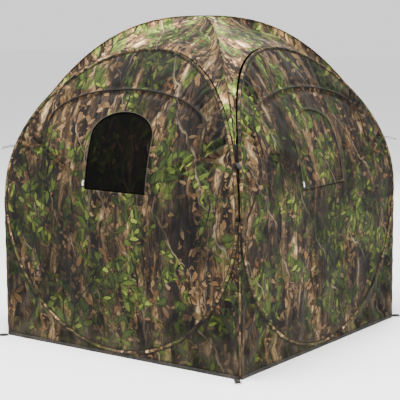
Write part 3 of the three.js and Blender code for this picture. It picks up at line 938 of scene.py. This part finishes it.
def row_of_blocks(name, lines, pitch, width, depth, length, made_of):
    """Blocks along one or more lines, as plain mesh."""
    points, edges = [], []
    for line in lines:
        first = len(points)
        points += [tuple(p) for p in line]
        edges += [(first + k, first + k + 1) for k in range(len(line) - 1)]
    mesh = bpy.data.meshes.new(name)
    mesh.from_pydata(points, edges, [])
    piece = bpy.data.objects.new(name, mesh)
    bpy.context.collection.objects.link(piece)
    modifier = piece.modifiers.new("row", "NODES")
    modifier.node_group = STITCH_ROW
    sockets = {s.name: s.identifier for s in STITCH_ROW.interface.items_tree if s.in_out == "INPUT"}
    for label, value in (("Pitch", pitch), ("Width", width), ("Depth", depth), ("Length", length),
                         ("Material", made_of)):
        modifier[sockets[label]] = value
    settle(piece)
    layer = piece.data.uv_layers.get("cloth") or piece.data.uv_layers.new(name="cloth")
    corner = np.empty(len(piece.data.loops), np.int32)
    piece.data.loops.foreach_get("vertex_index", corner)
    spots = np.array([v.co for v in piece.data.vertices])
    layer.data.foreach_set("uv", spots[corner][:, [0, 2]].astype(np.float32).ravel())
    return piece


# ---------------------------------------------------------------- sheets whose flat cut size is worked out from their own surface
def cut_size(points, faces, uv):
    """Flat width, length and area of a cloth from its finished surface."""
    points, uv = np.asarray(points), np.asarray(uv)
    area = 0.0
    for face in faces:
        p = points[list(face)]
        for k in range(1, len(p) - 1):
            area += np.linalg.norm(np.cross(p[k] - p[0], p[k + 1] - p[0])) / 2
    size = (uv.max(0) - uv.min(0)) * 1.01
    stretch = max(1.0, math.sqrt(area / (size[0] * size[1])) * 1.001)
    return float(size[0] * stretch), float(size[1] * stretch), float(area)


def panel_on_wall(name, outline, side, n, relief, materials, spacing=0.014, inner=True):
    """A sheet on a wall, filled from its outline. relief gives how far it stands out at each point."""
    points, faces = fill(outline, [], spacing)
    place = on_wall(points[:, 0], points[:, 1], n + relief(points), side)
    piece = new_piece(name, place, faces, materials, points)
    thicken(piece, inner=inner)
    piece["cut"] = cut_size(place, faces, points)
    return piece


def declare(piece):
    width, length, area = piece["cut"]
    del piece["cut"]
    fit = min(1.0, math.sqrt(area / (0.34 * width * length)))  # a crescent nests in a smaller cut
    width, length = width * fit, length * fit


# ---------------------------------------------------------------- roof
GORE_START = math.radians(22.5)
ROOF_IN = 0.0105  # how far the roof's edge stands behind the hoop's middle
DOME_CORNER, DOME_WALL = 3.1, 1.6  # how full the roof is towards its corners and towards a wall's top


def dome_height(z, t):
    """Height of the roof at share t of the way from the crown to an edge point at height z."""
    power = DOME_CORNER + (DOME_WALL - DOME_CORNER) * np.clip((z - WIDEST) / HOOP_HIGH, 0, 1)
    return z + (ROOF_TOP - 0.001 - z) * (1 - t ** power)


def rim(angle):
    """The roof's edge behind the front hoop. Its ends are drawn onto the corner diagonals."""
    x, s = HOOP_A * np.cos(angle), HOOP_HIGH * np.sin(angle)
    y = -PLANE + bow(s + 0.012) + ROOF_IN
    end = np.minimum(angle - GORE_START, math.pi - GORE_START - angle)
    pull = 1 - step(end, 0.0, 0.16)
    corner = (np.abs(x) + np.abs(y)) / 2
    x = x + pull * (np.sign(x) * corner - x)
    y = y + pull * (-corner - y)
    return x, y, WIDEST + s + 0.004


def gore(side, columns=240, rows=46):
    name = SIDES[side]
    angle = math.pi - np.linspace(GORE_START, math.pi - GORE_START, columns)
    x, y, z = rim(angle)
    t = np.linspace(0, 1, rows + 1)[1:, None]
    px, py = x[None] * t, y[None] * t
    pz = dome_height(z[None], t)
    across = np.linspace(-1, 1, columns)[None]
    to_ridge = 1 - np.abs(across)
    calm = step(to_ridge, 0.0, 0.10)
    near_rim = np.exp(-(1 - t) / 0.10)
    pleats = np.sin(across * 118 + 2.0 * np.sin(across * 9 + side))
    off_centre = 0.25 + 0.75 * step(np.abs(across), 0.25, 0.8)
    relief = 0.0070 * pleats * near_rim * off_centre * step(1 - t, 0, 0.03)
    relief = relief + 0.010 * wobble(px, py, 6.0, side) * step(t, 0.05, 0.4) * step(1 - t, 0.0, 0.15)
    relief = relief + 0.004 * wobble(px, py, 19.0, side + 2.0) * step(t, 0.05, 0.3) * step(1 - t, 0.0, 0.1)
    relief = relief - 0.012 * step(1 - t, 0.05, 0.3) * step(t, 0.1, 0.5) * calm
    pz = pz + relief * calm
    points = [(0, 0, ROOF_TOP - 0.001)]
    points += list(np.stack([px, py, pz], axis=-1).reshape(-1, 3))
    at = lambda row, column: 0 if row == 0 else 1 + (row - 1) * columns + column
    faces = []
    for k in range(columns - 1):
        faces.append((0, at(1, k), at(1, k + 1)))
        for row in range(1, rows):
            faces.append((at(row, k), at(row + 1, k), at(row + 1, k + 1), at(row, k + 1)))
    points = turned(np.array(points), side)
    uv = np.stack([np.append(0, px * 1.05), np.append(0, py * 1.3)], axis=1)
    # the roof cloth takes the brightened copy of the print, painted light from above
    piece = new_piece(f"{name}_roof_cloth", points, faces, [CAMO_ROOF_LIT, COATING], uv)
    piece["cut"] = cut_size(points, faces, uv)
    thicken(piece)
    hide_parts(f"{name}_roof_gore")
    with_the_gore(piece, side)
    declare(piece)
    return piece


def with_the_gore(piece, side):
    """Rides with a wall's upper half, with a mesh of its own."""
    name = SIDES[side]
    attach(piece, f"{name}_wall_upper")
    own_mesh(piece)


def ridge(corner):
    """Bound seam between two gores, from the crown down to where the hoops meet."""
    side = [0, 2, 2, 0][corner]
    x, y, z = rim(np.array([GORE_START if corner in (0, 2) else math.pi - GORE_START]))
    t = np.linspace(0.012, 1.0, 60)
    path = np.stack([x * t, y * t, dome_height(z, t)], axis=1)
    path = turned(path, side)
    piece = tube(f"ridge_seam_{CORNERS[corner]}", path, 0.0032, [BINDING_LIT], sides=8)
    with_the_gore(piece, side)
    return piece


# ---------------------------------------------------------------- seams, windows and door
def seam_tube(name, line, side, lift, radius, materials):
    """A bound seam that follows the wall's own relief."""
    openings = [DOOR] if side == 2 else [WINDOW]
    relief = wall_relief(line, openings, side)
    path = on_wall(line[:, 0], line[:, 1], CLOTH / 2 + relief + lift, side)
    return tube(name, path, radius, materials, sides=8)


def arch_seam(side):
    name = SIDES[side]
    line = arch_path(WELT, 0.0, WELT["bottom"], 150)
    piece = seam_tube(f"{name}_arch_seam", line, side, 0.0006, 0.0034, [SEAM])
    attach(piece, f"{name}_wall_upper")
    rows = []
    for off in (-0.0065, 0.0065):
        beside = arch_path(WELT, off, WELT["bottom"], 220)
        relief = wall_relief(beside, [DOOR] if side == 2 else [WINDOW], side)
        rows.append(on_wall(beside[:, 0], beside[:, 1], CLOTH / 2 + relief + 0.0003, side))
    stitches = row_of_blocks(f"{name}_arch_stitches", rows, 0.0050, 0.0009, 0.0007, 0.0034, THREAD)
    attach(stitches, f"{name}_wall_upper")
    return piece


def hoop_stitches(side):
    name = SIDES[side]
    angle = np.linspace(0, 2 * math.pi, 400)
    x, s = hoop_point(angle, -SLEEVE - 0.0035)
    relief = wall_relief(np.stack([x, s], axis=1), [DOOR] if side == 2 else [WINDOW], side)
    line = on_wall(x, s, CLOTH / 2 + relief + 0.0004, side)
    piece = row_of_blocks(f"{name}_hoop_stitches", [line], 0.0052, 0.0010, 0.0008, 0.0036, THREAD)
    bend_at_waist(piece, side)


def hoop_shadow_cord(side):
    """Dark cord along both sides of the hoop sleeve, round the wall and round each gusset: painted shadow
    along the hoop's edges.
    """
    name = SIDES[side]
    angle = np.linspace(0, 2 * math.pi, 300, endpoint=False)
    x, s = hoop_point(angle, -SLEEVE - 0.0010)
    relief = wall_relief(np.stack([x, s], axis=1), [DOOR] if side == 2 else [WINDOW], side)
    piece = tube(f"{name}_hoop_shadow_cord", on_wall(x, s, 0.0012 + relief, side), 0.0018, [SEAM], True, 8)
    bend_at_waist(piece, side)
    # dark cords beside each gusset's edge: painted shadow where the gusset falls back from the hoop
    for end, ahead in (("right", 1), ("left", -1)):
        angle = np.linspace(math.radians(4.0), math.radians(76), 90)
        x, s = ahead * (HOOP_A + 0.0098) * np.cos(angle), -(HOOP_LOW + 0.0098) * np.sin(angle)
        keep = s > -(WIDEST - HEM)
        cord = tube(f"{name}_gusset_shadow_cord_{end}", on_wall(x[keep], s[keep], 0.0012, side), 0.0020, [SEAM])
        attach(cord, f"{name}_wall_lower")


def zip_round(name, opening, side, body, slot_node, inner, outer, foot, strip):
    """The zip of an arched opening: its tape and a row of teeth down the middle."""
    thick = 0.0011
    tape = tape_round(f"{name}_zip_tape", opening, inner, outer, foot, side, 0.0029, thick, strip)
    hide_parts(slot_node)
    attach(tape, body)
    length = float(sum(np.linalg.norm(np.diff(arch_path(opening, 0.0, foot), axis=0), axis=1)))
    middle = arch_path(opening, max(inner, 0) * 0.5 + 0.001, foot, 200)
    line = on_wall(middle[:, 0], middle[:, 1], 0.0040, side)
    teeth = row_of_blocks(f"{name}_zip_teeth", [line], 0.0030, 0.0036, 0.0016, 0.0018, TEETH)
    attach(teeth, body)


def small_block(name, x, s, side, half_x, half_s, low, high, materials):
    """A block with rounded edges on a wall, from low to high out of it."""
    corners = [(i, j) for i in (-1, 1) for j in (-1, 1)]
    points = np.vstack([on_wall(x + i * half_x, s + j * half_s, n, side)
                        for n in (low, high) for i, j in corners])
    faces = [(0, 1, 3, 2), (4, 6, 7, 5), (0, 4, 5, 1), (2, 3, 7, 6), (0, 2, 6, 4), (1, 5, 7, 3)]
    piece = new_piece(name, points, faces, materials, points[:, [0, 2]])
    face_outwards(piece)
    bevel = piece.modifiers.new("edges", "BEVEL")
    bevel.width = 0.0011
    bevel.segments = 3
    return settle(piece)


PULL_OUT = 0.0093  # how far a pull's axis stands out of the cloth
BAIL = 0.0034  # radius of the wire bail round that axis


def slider(name, x, s, side, body):
    piece = small_block(f"{name}_slider", x, s, side, 0.0042, 0.0052, 0.0036, 0.0066, [STEEL])
    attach(piece, body)
    around = np.linspace(-0.93, math.pi + 0.93, 22)  # an arc round the axis that the tab turns on
    bail = on_wall(x, s + BAIL * np.cos(around), PULL_OUT + BAIL * np.sin(around), side)
    ring = tube(f"{name}_slider_bail", bail, 0.0007, [STEEL], sides=8)
    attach(ring, body)


def pull_tab(name, x, s, side, node):
    """A moulded tab with a round eye, that hangs from its slider."""
    angle = np.linspace(0, 2 * math.pi, 20, endpoint=False)
    half_turn = np.linspace(0, math.pi, 9)
    crown = [(0.0036 * math.cos(a), 0.0030 * math.sin(a) - BAIL) for a in half_turn]
    tip = [(0.0040 * math.cos(a), 0.0040 * math.sin(a) - 0.0200) for a in half_turn + math.pi]
    outline = np.array(crown + tip)
    eye = np.stack([0.0013 * np.cos(angle), 0.0013 * np.sin(angle) - BAIL], axis=1)
    points, faces = fill(outline, [eye], 0.0014)
    place = on_wall(x + points[:, 0], s + points[:, 1], 0.0105, side)
    piece = new_piece(f"{name}_pull_tab", place, faces, [PLASTIC], points, smooth=False)
    thicken(piece, 0.0024, inner=False)
    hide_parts(node)
    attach(piece, node)
    return piece


def closed_flap(name, opening, side, body):
    """A closed window or door flap, which fills its opening and bellies a little."""
    outline = arch(opening, -0.0022, steps=40)

    def relief(points):
        slack = step(distance(points, outline), 0.0, 0.09)
        waves = 0.0028 * wobble(points[:, 0], points[:, 1], 12.0, side + 1.0)
        return slack * (waves + 0.0010 * wobble(points[:, 0], points[:, 1], 40.0, side)) + 0.0002

    piece = panel_on_wall(f"{name}_flap_cloth", outline, side, 0.0008, relief, [CAMO[SIDES[side]], COATING])
    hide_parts(f"{name}_flap")
    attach(piece, body)
    declare(piece)
    return piece


def window_net():
    outline = arch(WINDOW, 0.011, steps=40)

    def relief(points):
        slack = step(distance(points, outline), 0.0, 0.10)
        return slack * (0.0035 * wobble(points[:, 0], points[:, 1], 10.0, 2.0) - 0.003)

    piece = panel_on_wall("front_window_net", outline, 0, -0.0022, relief, [NET], inner=False)
    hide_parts("front_window_mesh")
    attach(piece, "front_wall_upper")
    declare(piece)


def rolled_flap():
    """The front window's flap, rolled up behind the sill and held by two ties."""
    turns, columns = 6.2, 44
    middle_y, middle_z = -PLANE + 0.0262, WIDEST + 0.051
    sweep = np.linspace(0, turns * 2 * math.pi, 150)
    radius = 0.0025 + 0.0135 * sweep / sweep[-1]
    x = np.linspace(-0.202, 0.202, columns)
    grid_x, grid_t = np.meshgrid(x, sweep, indexing="ij")
    grid_r = np.broadcast_to(radius, grid_x.shape) * (1 + 0.05 * np.sin(grid_x * 40 + grid_t * 0.5))
    y = middle_y + grid_r * np.cos(grid_t)
    z = middle_z + grid_r * np.sin(grid_t)
    points = np.stack([grid_x, y, z], axis=-1).reshape(-1, 3)
    rows = len(sweep)
    faces = [(k * rows + j, (k + 1) * rows + j, (k + 1) * rows + j + 1, k * rows + j + 1)
             for k in range(columns - 1) for j in range(rows - 1)]
    pieces = np.hypot(*np.diff([radius * np.cos(sweep), radius * np.sin(sweep)]))
    length = np.concatenate([[0], np.cumsum(pieces)])
    uv = np.stack([np.repeat(x, rows), np.tile(length, columns)], axis=1)
    piece = new_piece("front_window_rolled_flap", points, faces, [CAMO_FLAP, COATING], uv)
    piece["cut"] = cut_size(points, faces, uv)
    thicken(piece, 0.0007)
    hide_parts("front_window_flap")
    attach(piece, "front_wall_upper")
    for k, at in enumerate((-0.13, 0.13)):
        around = np.linspace(0, 2 * math.pi, 40, endpoint=False)
        around = np.append(around, 2 * math.pi - 0.02)
        centre = np.stack([np.full_like(around, at), middle_y + 0.0184 * np.cos(around),
                           middle_z + 0.0184 * np.sin(around)], axis=1)
        out = np.stack([np.zeros_like(around), np.cos(around), np.sin(around)], axis=1)
        tie = ribbon(f"flap_tie_{k + 1}", centre, (1, 0, 0), out, 0.012, 0.0012, [WEBBING])
        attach(tie, "front_wall_upper")
    declare(piece)


# ---------------------------------------------------------------- loops, rings and corner seams
def strap_loop(name, root, out, length, height, width, droop, body, node):
    """A loop of webbing: out from its sewn end, round, and back beneath itself."""
    out = Vector(out).normalized()
    aside = Vector((-out.y, out.x, 0))
    angle = np.linspace(math.pi / 2, -math.pi / 2, 18)
    reach = length - height / 2
    run = np.linspace(0, 1, 16)
    u = np.concatenate([run * reach, reach + height / 2 * np.cos(angle), reach * run[::-1]])
    v = np.concatenate([np.full(16, height / 2), height / 2 * np.sin(angle), np.full(16, -height / 2)])
    v = v * (0.55 + 0.45 * step(u, 0.0, reach * 0.5)) - droop * (u / length) ** 2
    path = np.array([Vector(root) + out * a + Vector((0, 0, b)) for a, b in zip(u, v)])
    ahead = np.gradient(path, axis=0)
    normal = np.cross(ahead, np.array(aside))
    normal /= np.linalg.norm(normal, axis=1, keepdims=True)
    piece = ribbon(name, path, tuple(aside), normal, width, 0.0013, [WEBBING])
    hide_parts(node)
    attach(piece, body)
    return piece


def ground_ring(name, middle, out, body):
    """An oval wire ring through a stake loop, lying on the ground."""
    out = Vector(out).normalized()
    aside = Vector((-out.y, out.x, 0))
    angle = np.linspace(0, 2 * math.pi, 40, endpoint=False)
    path = np.array([
        Vector(middle) + out * 0.013 * math.cos(a) + aside * 0.0185 * math.sin(a) + Vector(
            (0, 0, -0.0022 * math.cos(a))) for a in angle])
    piece = tube(name, path, 0.0017, [STEEL], True, 12)
    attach(piece, body)


def corner_pieces(k):
    name = CORNERS[k]
    sx, sy = [(1, -1), (1, 1), (-1, 1), (-1, -1)][k]
    wall = "front" if sy < 0 else "back"
    out = Vector((sx, sy, 0)).normalized()
    high = 1.02 - WIDEST
    between = (HOOP_A * math.sqrt(1 - (high / HOOP_HIGH) ** 2) + PLANE - float(bow(high))) / 2
    outside = CORNER + 2 * SLEEVE + 0.004 - float(bow(high))
    strap_loop(f"tie_strap_{name}", (sx * between, sy * between, 1.02), out,
               0.040 + (outside - between) * math.sqrt(2), 0.0074, 0.018, 0.012,
               f"{wall}_wall_upper", f"tie_loop_{name}")
    root = Vector((sx * (CORNER - 0.006), sy * (CORNER + 2 * SLEEVE + 0.004), 0.0048))
    strap_loop(f"stake_strap_{name}", root, out, 0.048, 0.0074, 0.024, 0.0, f"{wall}_wall_lower",
               f"stake_loop_{name}")
    ground_ring(f"stake_ring_{name}", root + out * 0.052, out, f"{wall}_wall_lower")
    # bound seam down the corner, with its rough edge turned out
    z = np.linspace(0.004, WIDEST - 0.003, 96)
    edge = CORNER + 0.0050 + 0.0006 * np.sin(z * 60 + k)
    path = np.stack([sx * edge, sy * edge, z], axis=1)
    seam = tube(f"corner_seam_{name}", path, 0.0042, [BINDING_LIT], sides=10)
    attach(seam, f"{wall}_wall_lower")
    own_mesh(seam)
    # the narrow web of cloth between two hoops, above their waist, in the darkened print: painted shade
    # between the hoops
    s = np.linspace(-0.03, 0.35, 62)
    x = HOOP_A * np.sqrt(1 - (s / HOOP_HIGH) ** 2)
    y = PLANE - bow(s)
    middle = (x + y) / 2 - 0.004
    width = np.maximum((y - x) * math.sqrt(2) + 0.002, 0.016)
    aside = np.array([-sy * 1.0, sx * 1.0, 0.0]) / math.sqrt(2)
    centre = np.stack([sx * middle, sy * middle, WIDEST + s], axis=1)
    columns = np.linspace(-0.5, 0.5, 9)
    points = (centre[:, None] + aside * (columns[None, :, None] * width[:, None, None])
              - np.array(out) * (0.0015 * np.sin(columns * math.pi * 2 + k)[None, :, None]
                                 + 0.002 * np.cos(columns * math.pi)[None, :, None])).reshape(-1, 3)
    faces = [(i * 9 + j, i * 9 + j + 1, (i + 1) * 9 + j + 1, (i + 1) * 9 + j)
             for i in range(len(s) - 1) for j in range(8)]
    uv = np.stack([(columns[None] * width[:, None]).ravel(), np.repeat(s, 9)], axis=1)
    web = new_piece(f"corner_web_{name}", points, faces, [CAMO_PAINTED_SHADE, COATING], uv)
    if (web.data.polygons[0].normal @ out) < 0:
        web.data.flip_normals()
    web["cut"] = cut_size(points, faces, uv)
    thicken(web)
    with_the_gore(web, SIDES.index(wall))
    declare(web)


# ---------------------------------------------------------------- build every piece
for k, wall_side in enumerate(SIDES):
    for half in ("lower", "upper"):
        rod = frame["nodes"][f"{wall_side}_hoop_{half}"]
        rod.data.materials.clear()
        rod.data.materials.append(STEEL)
    sleeve(k)
    wall_cloth(k)
    gusset(k, False)
    gusset(k, True)
    hem(k)
    gore(k)
    arch_seam(k)
    hoop_stitches(k)
    hoop_shadow_cord(k)
for k in range(4):
    ridge(k)
    corner_pieces(k)
window_net()
rolled_flap()
zip_round("front_window", WINDOW, 0, "front_wall_upper", "front_window_zip", 0.001, 0.010, 0.084,
          CAMO["front"])
slider("front_window", -0.200, 0.120, 0, "front_wall_upper")
pull_tab("front_window", -0.200, 0.120, 0, "front_window_pull")
for window_side in (1, 3):
    window_name = f"{SIDES[window_side]}_window"
    wall_half = f"{SIDES[window_side]}_wall_upper"
    closed_flap(window_name, WINDOW, window_side, window_name)
    zip_round(window_name, WINDOW, window_side, wall_half, f"{window_name}_zip", -0.009, 0.009, 0.084,
              CAMO[SIDES[window_side]])
    slider(window_name, -0.195, 0.120, window_side, wall_half)
    pull_tab(window_name, -0.195, 0.120, window_side, f"{window_name}_pull")
closed_flap("door", DOOR, 2, "door")
zip_round("door", DOOR, 2, "back_wall_lower", "door_zip", -0.009, 0.009, -0.596, CAMO["back"])
slider("door", -0.330, -0.555, 2, "back_wall_lower")


# ---------------------------------------------------------------- floor, lights and camera
def floor():
    made, n, shader = material("pale_floor", 0.9)
    place = n.add("ShaderNodeTexCoord").outputs["Object"]
    patch = n.add("ShaderNodeTexNoise", {"Vector": place, "Scale": 3.0, "Detail": 2.0}).outputs[0]
    n.plug(n.mix(patch, (0.93, 0.93, 0.93, 1), (0.95, 0.95, 0.95, 1)), shader.inputs["Base Color"])
    size = 30.0
    piece = new_piece("floor", [(-size, -size, 0), (size, -size, 0), (size, size, 0), (-size, size, 0)],
                      [(0, 1, 2, 3)], [made], smooth=False)


def light(name, place, size, power, aim=(0, 0, 0.9), colour=(1, 1, 1)):
    lamp = bpy.data.lights.new(name, "AREA")
    lamp.shape = "DISK"
    lamp.size = size
    lamp.energy = power
    lamp.color = colour
    made = bpy.data.objects.new(name, lamp)
    made.location = place
    made.rotation_euler = (Vector(aim) - Vector(place)).to_track_quat("-Z", "Y").to_euler()
    bpy.context.collection.objects.link(made)


floor()
light("high_soft_light", (0.3, -1.2, 5.2), 3.0, 760)
light("front_light", (-3.6, -4.6, 2.8), 2.2, 170)
light("side_light", (5.2, -1.6, 3.0), 2.4, 260)
light("back_light", (-1.0, 5.0, 3.5), 4.0, 260)
world = bpy.data.worlds.new("studio")
world.use_nodes = True
world.node_tree.nodes["Background"].inputs[0].default_value = (1, 1, 1, 1)
world.node_tree.nodes["Background"].inputs[1].default_value = 1.25
bpy.context.scene.world = world

turn, rise, away, roll = math.radians(36.05), math.radians(8.36), 7.097, math.radians(-0.38)
target = Vector((0, 0, 0.738))
eye = target + away * Vector(
    (math.sin(turn) * math.cos(rise), -math.cos(turn) * math.cos(rise), math.sin(rise)))
lens = bpy.data.cameras.new("camera")
lens.sensor_width = 36
lens.lens = 117.8
lens.shift_x = -0.0091
lens.shift_y = -0.0177
camera = bpy.data.objects.new("camera", lens)
facing = (target - eye).to_track_quat("-Z", "Y").to_matrix().to_4x4()
camera.matrix_world = Matrix.Translation(eye) @ facing @ Matrix.Rotation(roll, 4, "Z")
bpy.context.collection.objects.link(camera)
bpy.context.scene.camera = camera
